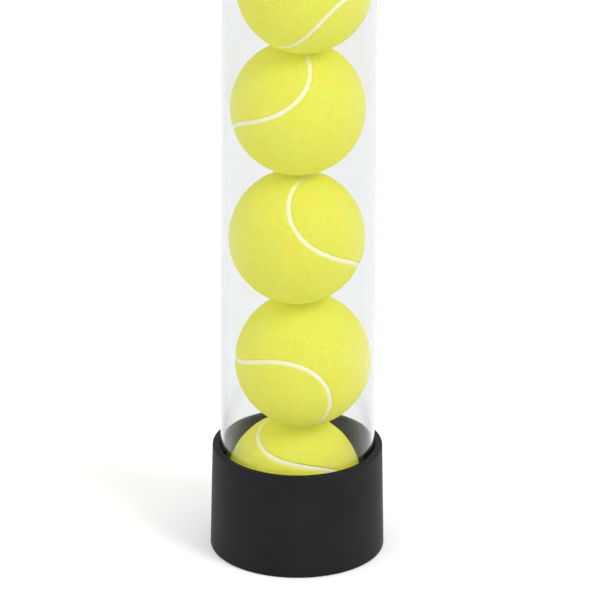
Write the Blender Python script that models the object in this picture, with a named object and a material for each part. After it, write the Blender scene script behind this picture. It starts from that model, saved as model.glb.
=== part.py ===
"""Pick-up tube for tennis balls: a clear tube in a black base collar, full of felt-covered balls.

The base collar is pushed down over a ball on the ground. Sprung fingers inside it let the ball in
and hold the whole stack up. A cap at the top lifts off, and the balls are poured out.
Metres, +Z up the tube, with the origin at the centre of the collar's bottom face.
"""

from math import atan2, cos, hypot, pi, radians, sin, sqrt

import bmesh
import bpy
from mathutils import Matrix, Vector

# Clearances
GAP = 0.0003  # between pieces that touch
BALL_CLEARANCE = 0.0034  # between a ball in the tube's middle and the tube
LEAN_SPARE = 0.0001  # more room between a leaning ball and the faceted tube
SEAM_GAP = 0.0005  # between the two felt panels of a ball
FINGER_GAP = 0.0002  # between the fingers and the ball that they hold
FOOT_CLEARANCE = 0.0009  # under the lowest ball
LIP_CLEARANCE = 0.0006  # from the tube's bore back to the edge of the sleeve's lip

# Tube
TUBE_WALL = 0.0015
TUBE_SPARE = 0.002  # length left over when it holds its balls and room for one more
ROUND_STEPS = 48

# Base collar, a moulding with a slight draft
COLLAR_HEIGHT = 0.054
COLLAR_WALL = 0.0036
COLLAR_DRAFT = 0.00085  # how much wider its outside is at the foot
LEDGE_HEIGHT = 0.008
LEDGE_WIDTH = 0.0014
MOUTH_FLARE = 0.0021
MOUTH_FLARE_HEIGHT = 0.005
BOTTOM_FILLET = 0.0012
TOP_FILLET = 0.0008
BORE_CHAMFER = 0.0005

# Grip ring, clamped between the collar's ledge and the tube's lower end
RING_WIDTH = 0.0017
RING_THICKNESS = 0.003

# Retaining fingers round the ring
FINGER_COUNT = 8
FINGER_ROOT_WIDTH = 0.012
FINGER_TIP_WIDTH = 0.009
FINGER_ROOT_THICKNESS = 0.0012
FINGER_TIP_THICKNESS = 0.0008
FINGER_RISE = 0.011  # from the ledge up to the tips

# Balls
BALL_COUNT = 15
BALL_RADIUS = 0.0331
FELT_THICKNESS = 0.0026
FACET_SHARE = 0.0459  # how far a felt panel's facets dip under its inner radius, as a share of it
CORE_WALL = 0.0036
NEEDLE_HOLE_RADIUS = 0.0006
SEAM_SHARE = 0.16  # share of the third harmonic in the seam curve: more makes narrower waists
FELT_RUNGS = 12
FELT_COLUMNS = 4

# Where the lowest balls lean in the tube, (x, y), and how they are turned about X, Y and Z, in degrees
FIRST_LEANS = [(-0.0017, 0.0007), (0.0025, -0.0013), (-0.0007, -0.0027), (-0.0004, 0.0028), (0.0024, -0.0014)]
FIRST_TURNS = [(97, 29, 123), (-123, 13, 42), (102, -5, 133), (-169, -81, 122), (-156, -32, 88)]
LATER_LEAN = 0.0027
LATER_LEAN_STEP = radians(137)
LATER_TURN_STEPS = (73, 47, 111)

# Top sleeve, bonded to the tube, and the cap that lifts out of it
SLEEVE_WALL = 0.0036
SLEEVE_OVERLAP = 0.030
SLEEVE_LIP_THICKNESS = 0.002
CAP_FLANGE_THICKNESS = 0.004
CAP_EDGE_FILLET = 0.0015
CAP_PLUG_LENGTH = 0.014
CAP_PLUG_WALL = 0.002
CAP_VENT_RADIUS = 0.004

# Radii that follow from the sizes above
TUBE_INNER_RADIUS = BALL_RADIUS + BALL_CLEARANCE
TUBE_OUTER_RADIUS = TUBE_INNER_RADIUS + TUBE_WALL
BORE_RADIUS = TUBE_OUTER_RADIUS + GAP
COLLAR_TOP_RADIUS = BORE_RADIUS + COLLAR_WALL
COLLAR_BOTTOM_RADIUS = COLLAR_TOP_RADIUS + COLLAR_DRAFT
COLLAR_THROAT_RADIUS = BORE_RADIUS - LEDGE_WIDTH
COLLAR_MOUTH_RADIUS = COLLAR_THROAT_RADIUS + MOUTH_FLARE
RING_INNER_RADIUS = TUBE_OUTER_RADIUS - RING_WIDTH
SLEEVE_RADIUS = BORE_RADIUS + SLEEVE_WALL
SLEEVE_LIP_INNER_RADIUS = TUBE_INNER_RADIUS + LIP_CLEARANCE
FELT_INNER_RADIUS = BALL_RADIUS - FELT_THICKNESS
CORE_RADIUS = FELT_INNER_RADIUS * (1 - FACET_SHARE) - GAP

# Heights that follow from the sizes above
BALL_PITCH = 2 * BALL_RADIUS + GAP
TUBE_LENGTH = (BALL_COUNT + 1) * BALL_PITCH + TUBE_SPARE
RING_BOTTOM = LEDGE_HEIGHT + GAP
RING_TOP = RING_BOTTOM + RING_THICKNESS
FINGER_TIP_HEIGHT = LEDGE_HEIGHT + FINGER_RISE
FIRST_BALL_HEIGHT = BALL_RADIUS + FOOT_CLEARANCE
TUBE_BOTTOM = RING_TOP + GAP
TUBE_TOP = TUBE_BOTTOM + TUBE_LENGTH
LIP_BOTTOM = TUBE_TOP + GAP
LIP_TOP = LIP_BOTTOM + SLEEVE_LIP_THICKNESS
CAP_BOTTOM = LIP_TOP + GAP


def material(name, colour, roughness, alpha=1.0):
    made = bpy.data.materials.new(name)
    made.use_nodes = True
    shader = made.node_tree.nodes["Principled BSDF"]
    shader.inputs["Base Color"].default_value = (*colour, 1.0)
    shader.inputs["Roughness"].default_value = roughness
    shader.inputs["Metallic"].default_value = 0.0
    shader.inputs["Alpha"].default_value = alpha
    return made


def mesh_from(bm, name, crease=radians(35)):
    """Turns a bmesh into a mesh with its faces pointing out and its round faces smooth."""
    bmesh.ops.recalc_face_normals(bm, faces=bm.faces)
    mesh = bpy.data.meshes.new(name)
    bm.to_mesh(mesh)
    bm.free()
    mesh.shade_smooth()
    mesh.set_sharp_from_angle(angle=crease)
    return mesh


def place(name, mesh, finish, location=(0, 0, 0), turn=(0, 0, 0), parent=None):
    made = bpy.data.objects.new(name, mesh)
    if not mesh.materials:
        mesh.materials.append(finish)
    made.location = location
    made.rotation_euler = turn
    made.parent = parent
    bpy.context.collection.objects.link(made)
    return made


def arc(centre_r, centre_z, radius, start, end, steps):
    """Points (r, z) on an arc, from one angle to another in degrees."""
    angles = [radians(start + (end - start) * k / steps) for k in range(steps + 1)]
    return [(centre_r + radius * cos(a), centre_z + radius * sin(a)) for a in angles]


def turned(name, profile):
    """A mesh turned about Z from a closed outline of (r, z) points."""
    bm = bmesh.new()
    corners = [bm.verts.new((r, 0, z)) for r, z in profile]
    edges = [bm.edges.new((a, b)) for a, b in zip(corners, corners[1:] + corners[:1])]
    bmesh.ops.spin(
        bm, geom=corners + edges, cent=(0, 0, 0), axis=(0, 0, 1),
        angle=2 * pi, steps=ROUND_STEPS, use_merge=True,
    )
    return mesh_from(bm, name)


def tube(finish):
    profile = [
        (TUBE_INNER_RADIUS, TUBE_BOTTOM),
        (TUBE_OUTER_RADIUS, TUBE_BOTTOM),
        (TUBE_OUTER_RADIUS, TUBE_TOP),
        (TUBE_INNER_RADIUS, TUBE_TOP),
    ]
    place("tube", turned("tube", profile), finish)


def base_collar(finish):
    bottom = arc(COLLAR_BOTTOM_RADIUS - BOTTOM_FILLET, BOTTOM_FILLET, BOTTOM_FILLET, -90, 0, 3)
    top = arc(COLLAR_TOP_RADIUS - TOP_FILLET, COLLAR_HEIGHT - TOP_FILLET, TOP_FILLET, 0, 90, 3)
    inside = [
        (BORE_RADIUS + BORE_CHAMFER, COLLAR_HEIGHT),
        (BORE_RADIUS, COLLAR_HEIGHT - BORE_CHAMFER),
        (BORE_RADIUS, LEDGE_HEIGHT),
        (COLLAR_THROAT_RADIUS, LEDGE_HEIGHT),
        (COLLAR_THROAT_RADIUS, MOUTH_FLARE_HEIGHT),
        (COLLAR_MOUTH_RADIUS, 0),
    ]
    place("base_collar", turned("base_collar", bottom + top + inside), finish)


def grip_ring(finish):
    profile = [
        (RING_INNER_RADIUS, RING_BOTTOM),
        (TUBE_OUTER_RADIUS, RING_BOTTOM),
        (TUBE_OUTER_RADIUS, RING_TOP),
        (RING_INNER_RADIUS, RING_TOP),
    ]
    place("grip_ring", turned("grip_ring", profile), finish)


def finger_mesh(length):
    """A flat tongue that stands on its hinge line, Y, with a round root and a rounded tip."""
    root, tip = FINGER_ROOT_THICKNESS / 2, FINGER_TIP_THICKNESS / 2
    outline = arc(0, 0, root, 180, 360, 4) + arc(0, length - tip, tip, 0, 180, 4)
    bm = bmesh.new()
    side = bm.faces.new([bm.verts.new((x, -0.5, z)) for x, z in outline])
    grown = bmesh.ops.extrude_face_region(bm, geom=[side], use_keep_orig=True)
    far = [v for v in grown["geom"] if isinstance(v, bmesh.types.BMVert)]
    bmesh.ops.translate(bm, verts=far, vec=(0, 1, 0))
    for corner in bm.verts:
        up = min(max(corner.co.z / length, 0), 1)
        corner.co.y *= FINGER_ROOT_WIDTH + (FINGER_TIP_WIDTH - FINGER_ROOT_WIDTH) * up
    return mesh_from(bm, "finger")


def fingers(finish):
    reach = sqrt((RING_INNER_RADIUS - GAP) ** 2 - (FINGER_ROOT_WIDTH / 2) ** 2)
    hinge_radius = reach - FINGER_ROOT_THICKNESS / 2
    hinge_height = (RING_BOTTOM + RING_TOP) / 2
    below_ball = FIRST_BALL_HEIGHT - FINGER_TIP_HEIGHT
    ball_there = sqrt(BALL_RADIUS**2 - below_ball**2) + hypot(*FIRST_LEANS[0])
    tip_radius = ball_there + FINGER_GAP + FINGER_TIP_THICKNESS / 2
    lean = atan2(hinge_radius - tip_radius, FINGER_TIP_HEIGHT - hinge_height)
    length = hypot(hinge_radius - tip_radius, FINGER_TIP_HEIGHT - hinge_height)
    mesh = finger_mesh(length)
    for k in range(FINGER_COUNT):
        around = 2 * pi * (k + 0.5) / FINGER_COUNT
        hinge = (hinge_radius * cos(around), hinge_radius * sin(around), hinge_height)
        place(f"finger_{k + 1}", mesh, finish, hinge, (0, -lean, around))


def seam_point(t):
    """A point of the closed seam curve on the unit sphere."""
    a, b = 1 - SEAM_SHARE, SEAM_SHARE
    return Vector((a * cos(t) + b * cos(3 * t), a * sin(t) - b * sin(3 * t), 2 * sqrt(a * b) * sin(2 * t)))


def felt_mesh():
    """One of the two equal panels that cover a ball: rungs across it, from seam to seam."""
    inset = SEAM_GAP / 2 / BALL_RADIUS
    rungs = []
    for k in range(1, FELT_RUNGS):
        t = pi * (k / FELT_RUNGS - 0.25)
        near, far = seam_point(t), seam_point(1.5 * pi - t)
        edge = inset / near.angle(far)
        shares = [edge + (1 - 2 * edge) * c / FELT_COLUMNS for c in range(FELT_COLUMNS + 1)]
        rungs.append([near.slerp(far, share) for share in shares])
    ends = []
    for t, rung in ((-pi / 4, rungs[0]), (3 * pi / 4, rungs[-1])):
        middle = rung[FELT_COLUMNS // 2]
        ends.append(seam_point(t).slerp(middle, inset / seam_point(t).angle(middle)))
    bm = bmesh.new()
    grid = [[bm.verts.new(p) for p in rung] for rung in rungs]
    tips = [bm.verts.new(p) for p in ends]
    for low, high in zip(grid, grid[1:]):
        for c in range(FELT_COLUMNS):
            bm.faces.new((low[c], low[c + 1], high[c + 1], high[c]))
    for c in range(FELT_COLUMNS):
        bm.faces.new((tips[0], grid[0][c + 1], grid[0][c]))
        bm.faces.new((tips[1], grid[-1][c], grid[-1][c + 1]))
    inner = list(bm.verts)
    grown = bmesh.ops.extrude_face_region(bm, geom=bm.faces[:], use_keep_orig=True)
    outer = [v for v in grown["geom"] if isinstance(v, bmesh.types.BMVert)]
    bmesh.ops.scale(bm, vec=[FELT_INNER_RADIUS] * 3, verts=inner)
    bmesh.ops.scale(bm, vec=[BALL_RADIUS] * 3, verts=outer)
    return mesh_from(bm, "felt_panel")


def core_mesh():
    """A hollow rubber ball with one needle hole through its wall."""
    bm = bmesh.new()
    hole_edges = []
    for radius in (CORE_RADIUS, CORE_RADIUS - CORE_WALL):
        shell = bmesh.ops.create_icosphere(bm, subdivisions=2, radius=radius)["verts"]
        faces = {f for v in shell for f in v.link_faces}
        top = max(faces, key=lambda f: round(f.calc_center_median().z, 5))
        inradius = 2 * top.calc_area() / top.calc_perimeter()
        bmesh.ops.inset_individual(bm, faces=[top], thickness=inradius - NEEDLE_HOLE_RADIUS)
        hole_edges += list(top.edges)
        bmesh.ops.delete(bm, geom=[top], context="FACES_ONLY")
    bmesh.ops.bridge_loops(bm, edges=hole_edges)
    return mesh_from(bm, "ball_core")


def balls(rubber, felt):
    core, panel = core_mesh(), felt_mesh()
    most = TUBE_INNER_RADIUS - BALL_RADIUS - GAP - LEAN_SPARE
    centre = None
    for k in range(BALL_COUNT):
        if k < len(FIRST_LEANS):
            lean, turn = Vector(FIRST_LEANS[k]), FIRST_TURNS[k]
        else:
            lean = Vector((LATER_LEAN, 0)) @ Matrix.Rotation(-LATER_LEAN_STEP * k, 2)
            turn = [k * step for step in LATER_TURN_STEPS]
        if lean.length > most:
            lean *= most / lean.length
        if centre is None:
            centre = Vector((*lean, FIRST_BALL_HEIGHT))
        else:
            aside = (lean - centre.xy).length
            centre = Vector((*lean, centre.z + sqrt(BALL_PITCH**2 - aside**2)))
        name = f"ball_{k + 1:02d}"
        middle = bpy.data.objects.new(name, None)
        middle.location = centre
        middle.rotation_euler = [radians(a) for a in turn]
        middle.empty_display_size = BALL_RADIUS
        bpy.context.collection.objects.link(middle)
        place(f"{name}_core", core, rubber, parent=middle)
        place(f"{name}_felt_a", panel, felt, parent=middle)
        place(f"{name}_felt_b", panel, felt, turn=(pi, 0, 0), parent=middle)


def top_sleeve(finish):
    top = arc(SLEEVE_RADIUS - TOP_FILLET, LIP_TOP - TOP_FILLET, TOP_FILLET, 0, 90, 3)
    foot = TUBE_TOP - SLEEVE_OVERLAP
    inside = [
        (SLEEVE_LIP_INNER_RADIUS, LIP_TOP),
        (SLEEVE_LIP_INNER_RADIUS, LIP_BOTTOM),
        (BORE_RADIUS, LIP_BOTTOM),
        (BORE_RADIUS, foot),
    ]
    bottom = arc(SLEEVE_RADIUS - TOP_FILLET, foot + TOP_FILLET, TOP_FILLET, -90, 0, 3)
    place("top_sleeve", turned("top_sleeve", bottom + top + inside), finish)


def top_cap(finish):
    cap_top = CAP_BOTTOM + CAP_FLANGE_THICKNESS
    plug_radius = TUBE_INNER_RADIUS - GAP
    plug_end = CAP_BOTTOM - CAP_PLUG_LENGTH
    edge = arc(SLEEVE_RADIUS - CAP_EDGE_FILLET, cap_top - CAP_EDGE_FILLET, CAP_EDGE_FILLET, 0, 90, 3)
    profile = [(plug_radius, CAP_BOTTOM), (SLEEVE_RADIUS, CAP_BOTTOM)] + edge
    profile += [
        (CAP_VENT_RADIUS, cap_top),
        (CAP_VENT_RADIUS, CAP_BOTTOM),
        (plug_radius - CAP_PLUG_WALL, CAP_BOTTOM),
        (plug_radius - CAP_PLUG_WALL, plug_end),
        (plug_radius, plug_end),
    ]
    place("top_cap", turned("top_cap", profile), finish)


def main():
    for old in list(bpy.data.objects):
        bpy.data.objects.remove(old)
    black = material("black_plastic", (0.024, 0.024, 0.026), 0.55)
    soft_black = material("black_elastomer", (0.020, 0.020, 0.021), 0.75)
    clear = material("clear_plastic", (0.92, 0.93, 0.93), 0.06, alpha=0.2)
    rubber = material("ball_rubber", (0.30, 0.30, 0.27), 0.7)
    felt = material("yellow_felt", (0.75, 0.78, 0.10), 0.95)
    base_collar(black)
    grip_ring(soft_black)
    fingers(soft_black)
    tube(clear)
    balls(rubber, felt)
    top_sleeve(black)
    top_cap(black)


main()
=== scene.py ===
"""Looks of a clear pick-up tube full of tennis balls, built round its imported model. Metres, +Z up."""

from math import cos, pi, radians, sin, sqrt

import bmesh
import bpy
import numpy as np
from mathutils import Euler, Matrix, Vector, noise


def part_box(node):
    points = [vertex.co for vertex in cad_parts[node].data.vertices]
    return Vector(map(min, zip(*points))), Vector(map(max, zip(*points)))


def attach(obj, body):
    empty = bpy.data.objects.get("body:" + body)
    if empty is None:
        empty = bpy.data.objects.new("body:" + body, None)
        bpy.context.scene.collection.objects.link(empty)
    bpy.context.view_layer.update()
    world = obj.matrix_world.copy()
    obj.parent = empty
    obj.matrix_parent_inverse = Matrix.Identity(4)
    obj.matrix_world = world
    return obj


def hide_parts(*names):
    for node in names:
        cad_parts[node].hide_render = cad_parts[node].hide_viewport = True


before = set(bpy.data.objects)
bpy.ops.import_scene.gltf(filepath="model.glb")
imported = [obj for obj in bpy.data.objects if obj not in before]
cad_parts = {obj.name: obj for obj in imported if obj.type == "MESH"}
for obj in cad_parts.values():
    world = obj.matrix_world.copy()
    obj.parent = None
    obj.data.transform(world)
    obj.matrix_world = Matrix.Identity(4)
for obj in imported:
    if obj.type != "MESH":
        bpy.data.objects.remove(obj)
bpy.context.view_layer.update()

MM = 0.001
OF_COLOURS = {"data_type": "RGBA"}  # makes a mix node mix colours

# Camera: a long lens that looks down on the foot of the standing tube
VIEW_TARGET = Vector((0.97, 0, 131.0)) * MM
VIEW_DISTANCE = 7.0
VIEW_WIDTH = 294.7 * MM  # what the camera takes in at the target
VIEW_DOWN = radians(23.9)
VIEW_ROLL = radians(0.235)
VIEW_END = 100.0  # nothing past this distance is drawn
SENSOR = 36.0

# Light
ROOM_LEVEL = 0.95  # white walls all round, as matte surfaces see them
FLOOR_GLOW = 0.12  # what brings the lit floor up to white for the camera
FLOOR_SIZE = 80.0

# Lamps: places and sizes in metres, powers in watts
KEY_PLACE = (2.6, -2.2, 3.2)
KEY_SIZE = 2.0
KEY_POWER = 100
FILL_PLACE = (-2.8, -1.6, 2.2)
FILL_SIZE = 2.4
FILL_POWER = 24

# Finishing every piece
WELD = 1e-6  # corners nearer than this become one
CREASE = radians(35)
BALL_CREASE = radians(60)

# Turned pieces
ROUND_STEPS = 192
ARC_STEPS = 6
SMALL_ARC_STEPS = 3

# Clear tube
TUBE_WALL = 1.5 * MM
TUBE_EDGE = 0.2 * MM
PETG_DENSITY = 140.0  # how strongly its grey tint takes light, to the metre

# Base collar, which widens towards its foot
COLLAR_DRAFT = 0.85 * MM
COLLAR_BORE = 38.3 * MM
COLLAR_THROAT = 36.9 * MM
COLLAR_MOUTH = 39.0 * MM
MOUTH_FLARE_HEIGHT = 5.0 * MM
MOUTH_ARC_START = 200  # degrees, where the flare runs into its round edge
LEDGE_HEIGHT = 8.0 * MM
FOOT_FILLET = 1.2 * MM
RIM_FILLET = 0.8 * MM
BORE_FILLET = 0.5 * MM

# Grip ring
RING_WALL = 1.7 * MM
RING_ROUND = 0.3  # share of its height that each edge is rounded by
RING_ARC_STEPS = 4

# Balls: how the lowest ones are turned about X, Y and Z, in degrees, and the steps for the rest
FIRST_TURNS = [(97, 29, 123), (-123, 13, 42), (102, -5, 133), (-169, -81, 122), (-156, -32, 88)]
LATER_TURN_STEPS = (73, 47, 111)
BALL_RADIUS = 33.1 * MM
FELT_THICKNESS = 2.6 * MM
SEAM_SHARE = 0.16  # share of the third harmonic in the seam curve
SEAM_WIDTH = 2.5 * MM
SEAM_DEPTH = 0.55 * MM  # how far the seam lies under the felt
SEAM_TUCK = 0.15 * MM  # how far the cement reaches under each panel's edge
SEAM_HALF_HEIGHT = 0.6 * MM
SEAM_ROUNDNESS = 0.7  # power of the band's outline: under 1 gives it fuller sides
SEAM_WELD = 0.005 * MM
SEAM_STEP = 0.001  # step along the curve that gives its direction
SEAM_SAMPLE_COUNT = 1440
SEAM_TOUCH = 0.004  # radians from the seam under which a point counts as on it
BAND_LENGTH_STEPS = 240
BAND_ROUND_STEPS = 12
FELT_ROLL = 1.0 * MM  # how far in from its edge the felt starts to roll down
PAINTED_FELT_GLOW = 0.19  # painted glow of the felt's own, standing for the optic dye's fluorescence and lifting the shade between balls
NAP_PROUD = 0.45 * MM  # how far the teased nap stands out past the pressed felt
NAP_DEPTH = 0.3 * MM  # how much of that its hollows lose
NAP_SIZE = 2.4 * MM
NAP_SWING = 0.45  # how strongly the tufts change the nap's height
FINE_TUFT_SHARE = 0.5
FINE_TUFT_SCALE = 2.2  # fine tufts to a coarse one
NAP_PRESSED = 0.05 * MM  # what is left between two balls that press on each other
HELD_MARGIN = 2.0 * MM  # how far over the fingers the nap is still held down
FELT_RUNGS = 96
FELT_COLUMNS = 48
FELT_WELD = 0.02 * MM
PANEL_START = -0.25  # where a panel starts, in half turns along the seam curve
PANEL_MIDDLE = 0.25
PANEL_ACROSS = 1.5 * pi  # t and this less t face each other across a panel
PANEL_TIP = 1e-4  # radians under which the two edges of a panel have met
PANEL_REACH = 0.4  # part of a panel, from its middle, in which the way inward is worked out

# Top sleeve and cap
SLEEVE_LIP_RADIUS = 37.1 * MM
SLEEVE_LIP_THICKNESS = 2.0 * MM
CAP_FILLET = 1.5 * MM
CAP_FLANGE = 4.0 * MM
CAP_PLUG_RADIUS = 36.2 * MM
CAP_PLUG_WALL = 2.0 * MM
CAP_VENT_RADIUS = 4.0 * MM
CAP_DISH_RADIUS = 33.0 * MM
CAP_DISH_DEPTH = 0.9 * MM
CAP_DISH_ARC_END = 150  # degrees, where the rim's round edge runs into the dish
CAP_VENT_BEND = 1.2  # fillets out from the vent at which its edge starts to bend
CAP_GRIP_RIBS = 48
CAP_GROOVE_DEPTH = 0.45 * MM
CAP_GROOVE_POWER = 3  # makes the grooves narrower than the ribs
CAP_GROOVE_REACH = 0.5 * MM  # how far in from the cap's edge corners are moved


# Nodes and colours


def linear(hex_code):
    """An sRGB hex colour as linear values."""
    parts = [int(hex_code[k : k + 2], 16) / 255 for k in (1, 3, 5)]
    return (*[c / 12.92 if c <= 0.04045 else ((c + 0.055) / 1.055) ** 2.4 for c in parts], 1.0)


def node(tree, kind, settings=None, **inputs):
    """Adds a node, sets its properties, and sets or links its inputs. In a name, _ stands for a space."""
    made = tree.nodes.new(kind)
    for key, value in (settings or {}).items():
        setattr(made, key, value)
    for key, value in inputs.items():
        numbered = key[:2] == "in" and key[2:].isdigit()
        slot = made.inputs[int(key[2:]) if numbered else key.replace("_", " ")]
        if isinstance(value, bpy.types.NodeSocket):
            tree.links.new(value, slot)
        else:
            slot.default_value = value
    return made


def new_tree(name):
    made = bpy.data.materials.new(name)
    made.use_nodes = True
    made.node_tree.nodes.clear()
    return made, made.node_tree


def grain(tree, size, low=0.0, high=1.0, between=(0.3, 0.7), stretch=(1, 1, 1), **noise_inputs):
    """A noise pattern with features of that size. What lies between two levels of it runs low to high."""
    place = node(tree, "ShaderNodeTexCoord").outputs["Object"]
    turned_place = node(tree, "ShaderNodeMapping", Vector=place, Scale=stretch).outputs["Vector"]
    raw = node(tree, "ShaderNodeTexNoise", Vector=turned_place, Scale=1 / size, **noise_inputs).outputs["Fac"]
    return node(
        tree, "ShaderNodeMapRange", Value=raw, From_Min=between[0], From_Max=between[1], To_Min=low, To_Max=high,
    ).outputs["Result"]


# Materials


def clear_petg():
    """Extruded PETG pipe: clear, a little grey in its thickness, with faint lines drawn along it by the die.

    The grey adds up where the wall is seen edge on, so that both sides of the tube show as darker lines.
    Matte surfaces inside see the lamps and walls straight through it.
    """
    made, tree = new_tree("clear_extruded_petg")
    lines = grain(tree, 1.6 * MM, stretch=(1, 1, 0.01), Detail=2.0)
    rough = grain(tree, 14 * MM, 0.02, 0.06, Detail=5.0, Roughness=0.7)
    drawn = node(tree, "ShaderNodeBump", Height=lines, Distance=0.01 * MM, Strength=0.12)
    plastic = node(
        tree, "ShaderNodeBsdfPrincipled", Base_Color=linear("#f4f5f6"), Roughness=rough, IOR=1.57,
        Specular_Tint=linear("#808284"), Transmission_Weight=1.0, Normal=drawn.outputs[0],
    )
    straight = node(tree, "ShaderNodeBsdfTransparent", Color=linear("#fdfdfd"))
    path = node(tree, "ShaderNodeLightPath").outputs
    passing = node(
        tree, "ShaderNodeMath", {"operation": "MAXIMUM"}, in0=path["Is Shadow Ray"], in1=path["Is Diffuse Ray"],
    )
    shader = node(
        tree, "ShaderNodeMixShader", in0=passing.outputs[0], in1=plastic.outputs[0], in2=straight.outputs[0],
    )
    grey = node(tree, "ShaderNodeVolumeAbsorption", Color=linear("#d2d4d6"), Density=PETG_DENSITY)
    node(tree, "ShaderNodeOutputMaterial", Surface=shader.outputs[0], Volume=grey.outputs[0])
    return made


def black_polypropylene():
    """Moulded black polypropylene: a spark-eroded texture breaks its low gloss, and it scuffs paler.

    The texture's real grain, about 0.1 mm, is drawn at 0.7 mm so that it shows.
    """
    made, tree = new_tree("black_moulded_polypropylene")
    cloudy = grain(tree, 22 * MM, Detail=4.0)
    scuffs = grain(tree, 3.5 * MM, 0.0, 0.3, (0.62, 0.80), (1, 1, 6), Detail=6.0, Roughness=0.75)
    shade = node(
        tree, "ShaderNodeMix", OF_COLOURS, in0=cloudy, in6=linear("#1b1b1c"), in7=linear("#201f22"),
    )
    worn = node(
        tree, "ShaderNodeMix", OF_COLOURS, in0=scuffs, in6=shade.outputs[2], in7=linear("#3c3c40"),
    )
    texture = node(
        tree, "ShaderNodeBump", Height=grain(tree, 0.7 * MM), Distance=0.03 * MM, Strength=0.5,
    )
    plastic = node(
        tree, "ShaderNodeBsdfPrincipled", Base_Color=worn.outputs[2],
        Roughness=grain(tree, 22 * MM, 0.44, 0.54, Detail=4.0), IOR=1.49, Specular_IOR_Level=0.08,
        Normal=texture.outputs[0],
    )
    node(tree, "ShaderNodeOutputMaterial", Surface=plastic.outputs[0])
    return made


def black_elastomer():
    """Soft thermoplastic rubber: matte, slightly warm black, with a dusty bloom in patches.

    The fine grain of its skin is drawn at 0.5 mm so that it shows.
    """
    made, tree = new_tree("black_moulded_elastomer")
    bloom = grain(tree, 6 * MM, Detail=5.0, Roughness=0.65)
    shade = node(
        tree, "ShaderNodeMix", OF_COLOURS, in0=bloom, in6=linear("#161514"), in7=linear("#2a2827"),
    )
    skin = node(tree, "ShaderNodeBump", Height=grain(tree, 0.5 * MM), Distance=0.03 * MM, Strength=0.5)
    rubber = node(
        tree, "ShaderNodeBsdfPrincipled", Base_Color=shade.outputs[2],
        Roughness=grain(tree, 6 * MM, 0.68, 0.84, Detail=5.0), IOR=1.5, Specular_IOR_Level=0.35,
        Normal=skin.outputs[0],
    )
    node(tree, "ShaderNodeOutputMaterial", Surface=rubber.outputs[0])
    return made


def ball_rubber():
    """Pressed natural rubber of a ball's core: grey-brown, matte, specked with filler."""
    made, tree = new_tree("pressed_ball_rubber")
    specks = grain(tree, 0.8 * MM, Detail=4.0, Roughness=0.7)
    shade = node(
        tree, "ShaderNodeMix", OF_COLOURS, in0=specks, in6=linear("#6f6c64"), in7=linear("#858178"),
    )
    skin = node(tree, "ShaderNodeBump", Height=specks, Distance=0.05 * MM, Strength=0.4)
    rubber = node(
        tree, "ShaderNodeBsdfPrincipled", Base_Color=shade.outputs[2], Roughness=0.75, IOR=1.52,
        Normal=skin.outputs[0],
    )
    node(tree, "ShaderNodeOutputMaterial", Surface=rubber.outputs[0])
    return made


def optic_yellow_felt():
    """Woven wool and nylon felt, teased up into a nap and dyed optic yellow.

    The felt has a painted glow, an even light of its own that stands for the dye's fluorescence and keeps it
    bright and saturated where balls shade each other. Its fibres catch light at grazing angles. Its small swirls
    get a painted highlight on each crest and painted shade in each hollow between tufts. The single fibres,
    0.02 mm thick, are drawn as strands of 0.8 mm so that they show.
    """
    made, tree = new_tree("optic_yellow_felt")
    blotches = grain(tree, 13 * MM, Detail=2.0)
    tufts = grain(tree, 2.6 * MM, Detail=4.0, Roughness=0.65, Distortion=0.8)
    strands = grain(tree, 0.8 * MM, Detail=5.0, Roughness=0.75, Distortion=2.2)
    # painted shade: the felt is coloured darker where the nap's tufts are low
    painted_hollow_shade = grain(tree, 2.6 * MM, 0.4, 0.0, Detail=4.0, Roughness=0.65, Distortion=0.8)
    # painted highlight: the felt is coloured paler where the nap's strands stand highest
    painted_crest_highlight = grain(tree, 0.8 * MM, 0.0, 0.7, (0.5, 0.75), Detail=5.0, Roughness=0.75, Distortion=2.2)
    dyed = node(
        tree, "ShaderNodeMix", OF_COLOURS, in0=blotches, in6=linear("#f8ed5e"), in7=linear("#eef268"),
    )
    with_painted_shade = node(
        tree, "ShaderNodeMix", OF_COLOURS, in0=painted_hollow_shade, in6=dyed.outputs[2], in7=linear("#dcd80e"),
    )
    shade = node(
        tree, "ShaderNodeMix", OF_COLOURS, in0=painted_crest_highlight, in6=with_painted_shade.outputs[2], in7=linear("#faf682"),
    )
    rise = node(tree, "ShaderNodeMath", {"operation": "MULTIPLY_ADD"}, in0=strands, in1=0.5, in2=tufts)
    nap = node(tree, "ShaderNodeBump", Height=rise.outputs[0], Distance=0.6 * MM, Strength=0.85)
    # The emission is a painted glow that lifts the whole felt, most visibly in its shaded creases
    felt = node(
        tree, "ShaderNodeBsdfPrincipled", Base_Color=shade.outputs[2], Roughness=0.95,
        Specular_IOR_Level=0.03, Sheen_Weight=0.04, Sheen_Roughness=0.5, Sheen_Tint=linear("#f4f490"),
        Normal=nap.outputs[0], Emission_Color=linear("#e6f014"), Emission_Strength=PAINTED_FELT_GLOW,
    )
    node(tree, "ShaderNodeOutputMaterial", Surface=felt.outputs[0])
    return made


def cream_seam_cement():
    """Vulcanised seam cement: cream rubber, smoother than the felt, stained a little by its dye."""
    made, tree = new_tree("cream_seam_cement")
    stain = grain(tree, 5 * MM, Detail=3.0)
    shade = node(
        tree, "ShaderNodeMix", OF_COLOURS, in0=stain, in6=linear("#fbf8d8"), in7=linear("#f8f5ba"),
    )
    skin = node(tree, "ShaderNodeBump", Height=grain(tree, 1.2 * MM), Distance=0.06 * MM, Strength=0.4)
    cement = node(
        tree, "ShaderNodeBsdfPrincipled", Base_Color=shade.outputs[2], Roughness=0.7, IOR=1.5,
        Specular_IOR_Level=0.3, Normal=skin.outputs[0],
    )
    node(tree, "ShaderNodeOutputMaterial", Surface=cement.outputs[0])
    return made


# Making pieces


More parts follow.
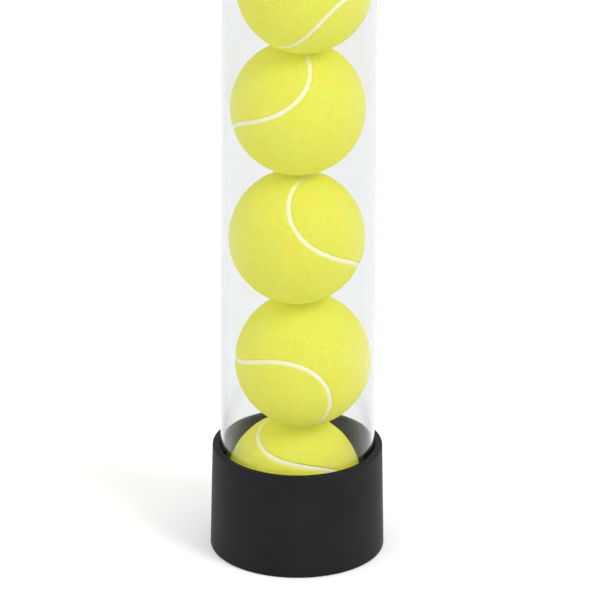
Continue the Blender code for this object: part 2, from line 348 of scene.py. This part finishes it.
def finished(bm, name, body, finish, nodes, crease=CREASE):
    """Makes a bmesh a smooth piece that rides on a body and stands for CAD nodes."""
    bmesh.ops.remove_doubles(bm, verts=bm.verts, dist=WELD)
    bmesh.ops.recalc_face_normals(bm, faces=bm.faces)
    mesh = bpy.data.meshes.new(name)
    bm.to_mesh(mesh)
    bm.free()
    mesh.shade_smooth()
    mesh.set_sharp_from_angle(angle=crease)
    mesh.materials.append(finish)
    made = bpy.data.objects.new(name, mesh)
    bpy.context.collection.objects.link(made)
    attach(made, body)
    if nodes:
        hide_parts(*nodes)
    return made


def arc(centre_r, centre_z, radius, start, end, steps=ARC_STEPS):
    """Points (r, z) on an arc, from one angle to another in degrees."""
    angles = [radians(start + (end - start) * k / steps) for k in range(steps + 1)]
    return [(centre_r + radius * cos(a), centre_z + radius * sin(a)) for a in angles]


def turned(outline):
    """A closed outline of (r, z) points, turned about the tube's axis."""
    bm = bmesh.new()
    corners = [bm.verts.new((r, 0, z)) for r, z in outline]
    edges = [bm.edges.new(pair) for pair in zip(corners, corners[1:] + corners[:1])]
    bmesh.ops.spin(
        bm, geom=corners + edges, cent=(0, 0, 0), axis=(0, 0, 1),
        angle=2 * pi, steps=ROUND_STEPS, use_merge=True,
    )
    return bm


def make_tube(finish):
    low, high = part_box("tube")
    outer = high.x
    inner = outer - TUBE_WALL
    outline = []
    for r, z, out, up in (
        (inner, low.z, 1, 1),
        (outer, low.z, -1, 1),
        (outer, high.z, -1, -1),
        (inner, high.z, 1, -1),
    ):
        corner = [(r + out * TUBE_EDGE, z), (r, z + up * TUBE_EDGE)]
        outline += corner if out * up < 0 else corner[::-1]
    finished(turned(outline), "clear_tube", "tube_assembly", finish, ["tube"])


def make_base_collar(finish):
    low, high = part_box("base_collar")
    foot, rim = high.x, high.x - COLLAR_DRAFT
    outline = arc(foot - FOOT_FILLET, low.z + FOOT_FILLET, FOOT_FILLET, -90, 0)
    outline += arc(rim - RIM_FILLET, high.z - RIM_FILLET, RIM_FILLET, 0, 90)
    outline += arc(COLLAR_BORE + BORE_FILLET, high.z - BORE_FILLET, BORE_FILLET, 90, 180)
    outline += [
        (COLLAR_BORE, LEDGE_HEIGHT),
        (COLLAR_THROAT, LEDGE_HEIGHT),
        (COLLAR_THROAT, MOUTH_FLARE_HEIGHT),
    ]
    outline += arc(
        COLLAR_MOUTH + BORE_FILLET, low.z + BORE_FILLET, BORE_FILLET, MOUTH_ARC_START, 270, SMALL_ARC_STEPS,
    )
    finished(
        turned(outline), "collar_moulding", "tube_assembly", finish, ["base_collar"],
    )


def make_grip_ring(finish):
    low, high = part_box("grip_ring")
    round_edge = (high.z - low.z) * RING_ROUND
    inner = high.x - RING_WALL
    outline = []
    for r, z, start in (
        (high.x - round_edge, high.z - round_edge, 0),
        (inner + round_edge, high.z - round_edge, 90),
        (inner + round_edge, low.z + round_edge, 180),
        (high.x - round_edge, low.z + round_edge, 270),
    ):
        outline += arc(r, z, round_edge, start, start + 90, RING_ARC_STEPS)
    finished(
        turned(outline), "ring_moulding", "tube_assembly", finish, ["grip_ring"],
    )


def make_top_sleeve(finish):
    low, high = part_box("top_sleeve")
    outline = arc(high.x - RIM_FILLET, low.z + RIM_FILLET, RIM_FILLET, -90, 0)
    outline += arc(high.x - RIM_FILLET, high.z - RIM_FILLET, RIM_FILLET, 0, 90)
    outline += arc(SLEEVE_LIP_RADIUS + BORE_FILLET, high.z - BORE_FILLET, BORE_FILLET, 90, 180)
    outline += [
        (SLEEVE_LIP_RADIUS, high.z - SLEEVE_LIP_THICKNESS),
        (COLLAR_BORE, high.z - SLEEVE_LIP_THICKNESS),
    ]
    outline += arc(COLLAR_BORE + BORE_FILLET, low.z + BORE_FILLET, BORE_FILLET, 180, 270)
    finished(
        turned(outline), "sleeve_moulding", "tube_assembly", finish, ["top_sleeve"],
    )


def make_top_cap(finish):
    """The cap: a dished top with a vent hole, a round edge with grip ribs, and a plug below."""
    low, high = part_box("top_cap")
    flange = high.z - CAP_FLANGE
    dish = high.z - CAP_DISH_DEPTH
    outline = [(CAP_PLUG_RADIUS, flange)]
    outline += arc(high.x - BORE_FILLET, flange + BORE_FILLET, BORE_FILLET, -90, 0, SMALL_ARC_STEPS)
    outline += arc(high.x - CAP_FILLET, high.z - CAP_FILLET, CAP_FILLET, 0, 90)
    outline += arc(
        CAP_DISH_RADIUS + BORE_FILLET, high.z - BORE_FILLET, BORE_FILLET,
        90, CAP_DISH_ARC_END, SMALL_ARC_STEPS,
    )
    outline += [
        (CAP_DISH_RADIUS - BORE_FILLET, dish),
        (CAP_VENT_RADIUS + CAP_VENT_BEND * BORE_FILLET, dish),
    ]
    vent_edge = arc(
        CAP_VENT_RADIUS + BORE_FILLET, dish - BORE_FILLET, BORE_FILLET, 90, 180, SMALL_ARC_STEPS,
    )
    outline += vent_edge[1:]
    outline += [(CAP_VENT_RADIUS, flange), (CAP_PLUG_RADIUS - CAP_PLUG_WALL, flange)]
    half_wall = CAP_PLUG_WALL / 2
    outline += arc(CAP_PLUG_RADIUS - half_wall, low.z + half_wall, half_wall, 180, 360)
    bm = turned(outline)
    for corner in bm.verts:
        out = corner.co.xy.length
        if out > high.x - CAP_GROOVE_REACH and corner.co.z > flange + BORE_FILLET / 2:
            around = corner.co.xy.angle_signed(Vector((1, 0)))
            dip = CAP_GROOVE_DEPTH * (0.5 - 0.5 * cos(CAP_GRIP_RIBS * around)) ** CAP_GROOVE_POWER
            corner.co.xy *= (out - dip) / out
    finished(bm, "cap_moulding", "top_cap", finish, ["top_cap"])


# Balls


def seam_point(t):
    """A point of the closed seam curve on the unit sphere."""
    a, b = 1 - SEAM_SHARE, SEAM_SHARE
    return Vector(
        (a * cos(t) + b * cos(3 * t), a * sin(t) - b * sin(3 * t), 2 * sqrt(a * b) * sin(2 * t)),
    )


def eased(share):
    """0 to 1, with its steps finest at both ends."""
    return 0.5 - 0.5 * cos(pi * share)


SEAM_SAMPLES = np.array([seam_point(2 * pi * k / SEAM_SAMPLE_COUNT) for k in range(SEAM_SAMPLE_COUNT)])


def away_from_seam(point, inward):
    """How far a point on the unit sphere lies from the seam, and the way from the seam to it."""
    nearest = Vector(SEAM_SAMPLES[int(np.argmax(SEAM_SAMPLES @ np.array(point)))])
    apart = point - nearest * point.dot(nearest)
    if apart.length < SEAM_TOUCH:
        apart = inward - nearest * inward.dot(nearest)
        return nearest, 0.0, apart.normalized()
    return nearest, point.angle(nearest), apart.normalized()


def felt_panel():
    """One dog-bone panel of felt round the origin, a shell whose edges roll down to the seam."""
    bm = bmesh.new()
    bmesh.ops.create_grid(bm, x_segments=FELT_RUNGS, y_segments=FELT_COLUMNS, size=0.5)
    clear = SEAM_WIDTH / 2 / BALL_RADIUS
    roll = FELT_ROLL / BALL_RADIUS
    heights = {}
    for corner in bm.verts:
        t = pi * (eased(corner.co.x + 0.5) + PANEL_START)
        near, far = seam_point(t), seam_point(PANEL_ACROSS - t)
        share = eased(corner.co.y + 0.5)
        tip = near.angle(far) < PANEL_TIP
        place = near if tip else near.slerp(far, share)
        along = pi * (min(max(corner.co.x, -PANEL_REACH), PANEL_REACH) + PANEL_MIDDLE)
        inward = (seam_point(along) + seam_point(PANEL_ACROSS - along)).normalized()
        seam, distance, way = away_from_seam(place, inward)
        distance = sqrt(distance**2 + clear**2)
        corner.co = seam * cos(distance) + way * sin(distance)
        left = max(0.0, 1 - (distance - clear) / roll)
        heights[corner] = BALL_RADIUS - SEAM_DEPTH * (1 - sqrt(1 - left**2))
    for corner, height in heights.items():
        corner.co *= height
    bmesh.ops.remove_doubles(bm, verts=bm.verts, dist=FELT_WELD)
    grown = bmesh.ops.extrude_face_region(bm, geom=bm.faces[:], use_keep_orig=True)
    under = {v for v in grown["geom"] if isinstance(v, bmesh.types.BMVert)}
    for corner in under:
        corner.co = corner.co.normalized() * (BALL_RADIUS - FELT_THICKNESS)
    bmesh.ops.recalc_face_normals(bm, faces=bm.faces)
    return bm


def seam_band():
    """The cement between the panels: a round-edged band along the whole seam curve."""
    bm = bmesh.new()
    bmesh.ops.create_grid(bm, x_segments=BAND_LENGTH_STEPS, y_segments=BAND_ROUND_STEPS, size=0.5)
    half = SEAM_WIDTH / 2 + SEAM_TUCK
    middle = BALL_RADIUS + NAP_PROUD - SEAM_DEPTH - SEAM_HALF_HEIGHT
    for corner in bm.verts:
        t = 2 * pi * (corner.co.x + 0.5)
        around = 2 * pi * (corner.co.y + 0.5)
        place = seam_point(t)
        along = (seam_point(t + SEAM_STEP) - seam_point(t - SEAM_STEP)).normalized()
        side = place.cross(along).normalized()
        wide = half * abs(cos(around)) ** SEAM_ROUNDNESS * (1 if cos(around) > 0 else -1)
        corner.co = place * (middle + SEAM_HALF_HEIGHT * sin(around)) + side * wide
    bmesh.ops.remove_doubles(bm, verts=bm.verts, dist=SEAM_WELD)
    return bm


def put_ball_part(shape, turn, centre):
    """A copy of a shape that was made round the origin, turned and moved to its ball."""
    bm = shape.copy()
    bmesh.ops.transform(bm, matrix=Matrix.Translation(centre) @ turn, verts=bm.verts)
    return bm


def raise_nap(bm, centre, others, held_below):
    """Teases the felt's outside up in tufts, but not where a neighbour or the fingers press on it."""
    for corner in bm.verts:
        out = corner.co - centre
        if out.length < BALL_RADIUS - FELT_THICKNESS / 2:
            continue
        fine = noise.noise(corner.co * FINE_TUFT_SCALE / NAP_SIZE)
        tuft = noise.noise(corner.co / NAP_SIZE) + FINE_TUFT_SHARE * fine
        rise = NAP_PROUD - NAP_DEPTH * (0.5 - NAP_SWING * tuft)
        if corner.co.z < held_below:
            rise = -NAP_PRESSED
        corner.co += out.normalized() * rise
        for other in others:
            half_way = (other - centre) / 2
            over = (corner.co - centre).dot(half_way.normalized()) - half_way.length + NAP_PRESSED
            if over > 0:
                corner.co -= half_way.normalized() * over


def make_balls(felt, cement, rubber):
    panel, band = felt_panel(), seam_band()
    names = sorted(name[: -len("_core")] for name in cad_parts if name.endswith("_core"))
    centres = [sum(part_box(f"{name}_core"), Vector()) / 2 for name in names]
    held_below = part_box("finger_1")[1].z + HELD_MARGIN
    for k, (name, centre) in enumerate(zip(names, centres)):
        turns = FIRST_TURNS[k] if k < len(FIRST_TURNS) else [k * step for step in LATER_TURN_STEPS]
        turn = Euler([radians(a) for a in turns]).to_matrix().to_4x4()
        others = centres[max(k - 1, 0) : k] + centres[k + 1 : k + 2]
        for letter, placing in (("a", turn), ("b", turn @ Matrix.Rotation(pi, 4, "X"))):
            bm = put_ball_part(panel, placing, centre)
            raise_nap(bm, centre, others, held_below)
            panel_name = f"{name}_felt_{letter}"
            finished(bm, f"{name}_panel_{letter}", name, felt, [panel_name], BALL_CREASE)
        bm = put_ball_part(band, turn, centre)
        finished(bm, f"{name}_seam", name, cement, [], BALL_CREASE)
        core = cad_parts[f"{name}_core"].data
        core.materials.clear()
        core.materials.append(rubber)
    panel.free()
    band.free()


def finish_fingers(elastomer):
    for name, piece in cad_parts.items():
        if name.startswith("finger_"):
            piece.data.materials.clear()
            piece.data.materials.append(elastomer)


# Stage


def make_floor():
    """A white floor that shows as white where nothing shades it, and keeps a soft shadow."""
    bm = bmesh.new()
    bmesh.ops.create_grid(bm, x_segments=2, y_segments=2, size=FLOOR_SIZE / 2)
    mesh = bpy.data.meshes.new("floor")
    bm.to_mesh(mesh)
    bm.free()
    floor = bpy.data.objects.new("floor", mesh)
    bpy.context.collection.objects.link(floor)
    made, tree = new_tree("white_floor")
    paper = node(tree, "ShaderNodeBsdfDiffuse", Color=linear("#f0f0f0"))
    level = node(
        tree, "ShaderNodeMapRange", Value=seen_as_background(tree), To_Min=0.0, To_Max=FLOOR_GLOW,
    )
    glow = node(tree, "ShaderNodeEmission", Strength=level.outputs["Result"])
    both = node(tree, "ShaderNodeAddShader", in0=paper.outputs[0], in1=glow.outputs[0])
    node(tree, "ShaderNodeOutputMaterial", Surface=both.outputs[0])
    mesh.materials.append(made)


def seen_as_background(tree):
    """1 for what the camera sees, straight, mirrored or through the tube, and else 0."""
    path = node(tree, "ShaderNodeLightPath").outputs
    mirrored = node(
        tree, "ShaderNodeMath", {"operation": "MAXIMUM"},
        in0=path["Is Glossy Ray"], in1=path["Is Transmission Ray"],
    )
    return node(
        tree, "ShaderNodeMath", {"operation": "MAXIMUM"}, in0=path["Is Camera Ray"], in1=mirrored.outputs[0],
    ).outputs[0]


def make_room():
    world = bpy.data.worlds.new("white_room")
    bpy.context.scene.world = world
    world.use_nodes = True
    tree = world.node_tree
    tree.nodes.clear()
    level = node(
        tree, "ShaderNodeMapRange", Value=seen_as_background(tree), To_Min=ROOM_LEVEL, To_Max=1.0,
    )
    room = node(tree, "ShaderNodeBackground", Color=(1, 1, 1, 1), Strength=level.outputs["Result"])
    node(tree, "ShaderNodeOutputWorld", Surface=room.outputs[0])


def make_lamp(name, place, size, power):
    lamp = bpy.data.lights.new(name, "AREA")
    lamp.shape = "DISK"
    lamp.size = size
    lamp.energy = power
    made = bpy.data.objects.new(name, lamp)
    made.location = place
    made.rotation_euler = (VIEW_TARGET - Vector(place)).to_track_quat("-Z", "Y").to_euler()
    made.visible_camera = False
    bpy.context.collection.objects.link(made)


def make_camera():
    lens = bpy.data.cameras.new("camera")
    lens.sensor_width = SENSOR
    lens.lens = SENSOR * VIEW_DISTANCE / VIEW_WIDTH
    lens.clip_end = VIEW_END
    made = bpy.data.objects.new("camera", lens)
    bpy.context.collection.objects.link(made)
    back = Vector((0, -cos(VIEW_DOWN), sin(VIEW_DOWN)))
    level_up = Vector((0, sin(VIEW_DOWN), cos(VIEW_DOWN)))
    right = Vector((1, 0, 0)) * cos(VIEW_ROLL) + level_up * sin(VIEW_ROLL)
    up = level_up * cos(VIEW_ROLL) - Vector((1, 0, 0)) * sin(VIEW_ROLL)
    turn = Matrix((right, up, back)).transposed()
    made.matrix_world = Matrix.Translation(VIEW_TARGET + back * VIEW_DISTANCE) @ turn.to_4x4()
    bpy.context.scene.camera = made


def main():
    bpy.context.scene.view_settings.view_transform = "Standard"
    make_camera()
    make_room()
    make_floor()
    make_lamp("soft_key", KEY_PLACE, KEY_SIZE, KEY_POWER)
    make_lamp("soft_fill", FILL_PLACE, FILL_SIZE, FILL_POWER)
    black = black_polypropylene()
    elastomer = black_elastomer()
    make_tube(clear_petg())
    make_base_collar(black)
    make_grip_ring(elastomer)
    make_top_sleeve(black)
    make_top_cap(black)
    finish_fingers(elastomer)
    make_balls(optic_yellow_felt(), cream_seam_cement(), ball_rubber())


main()
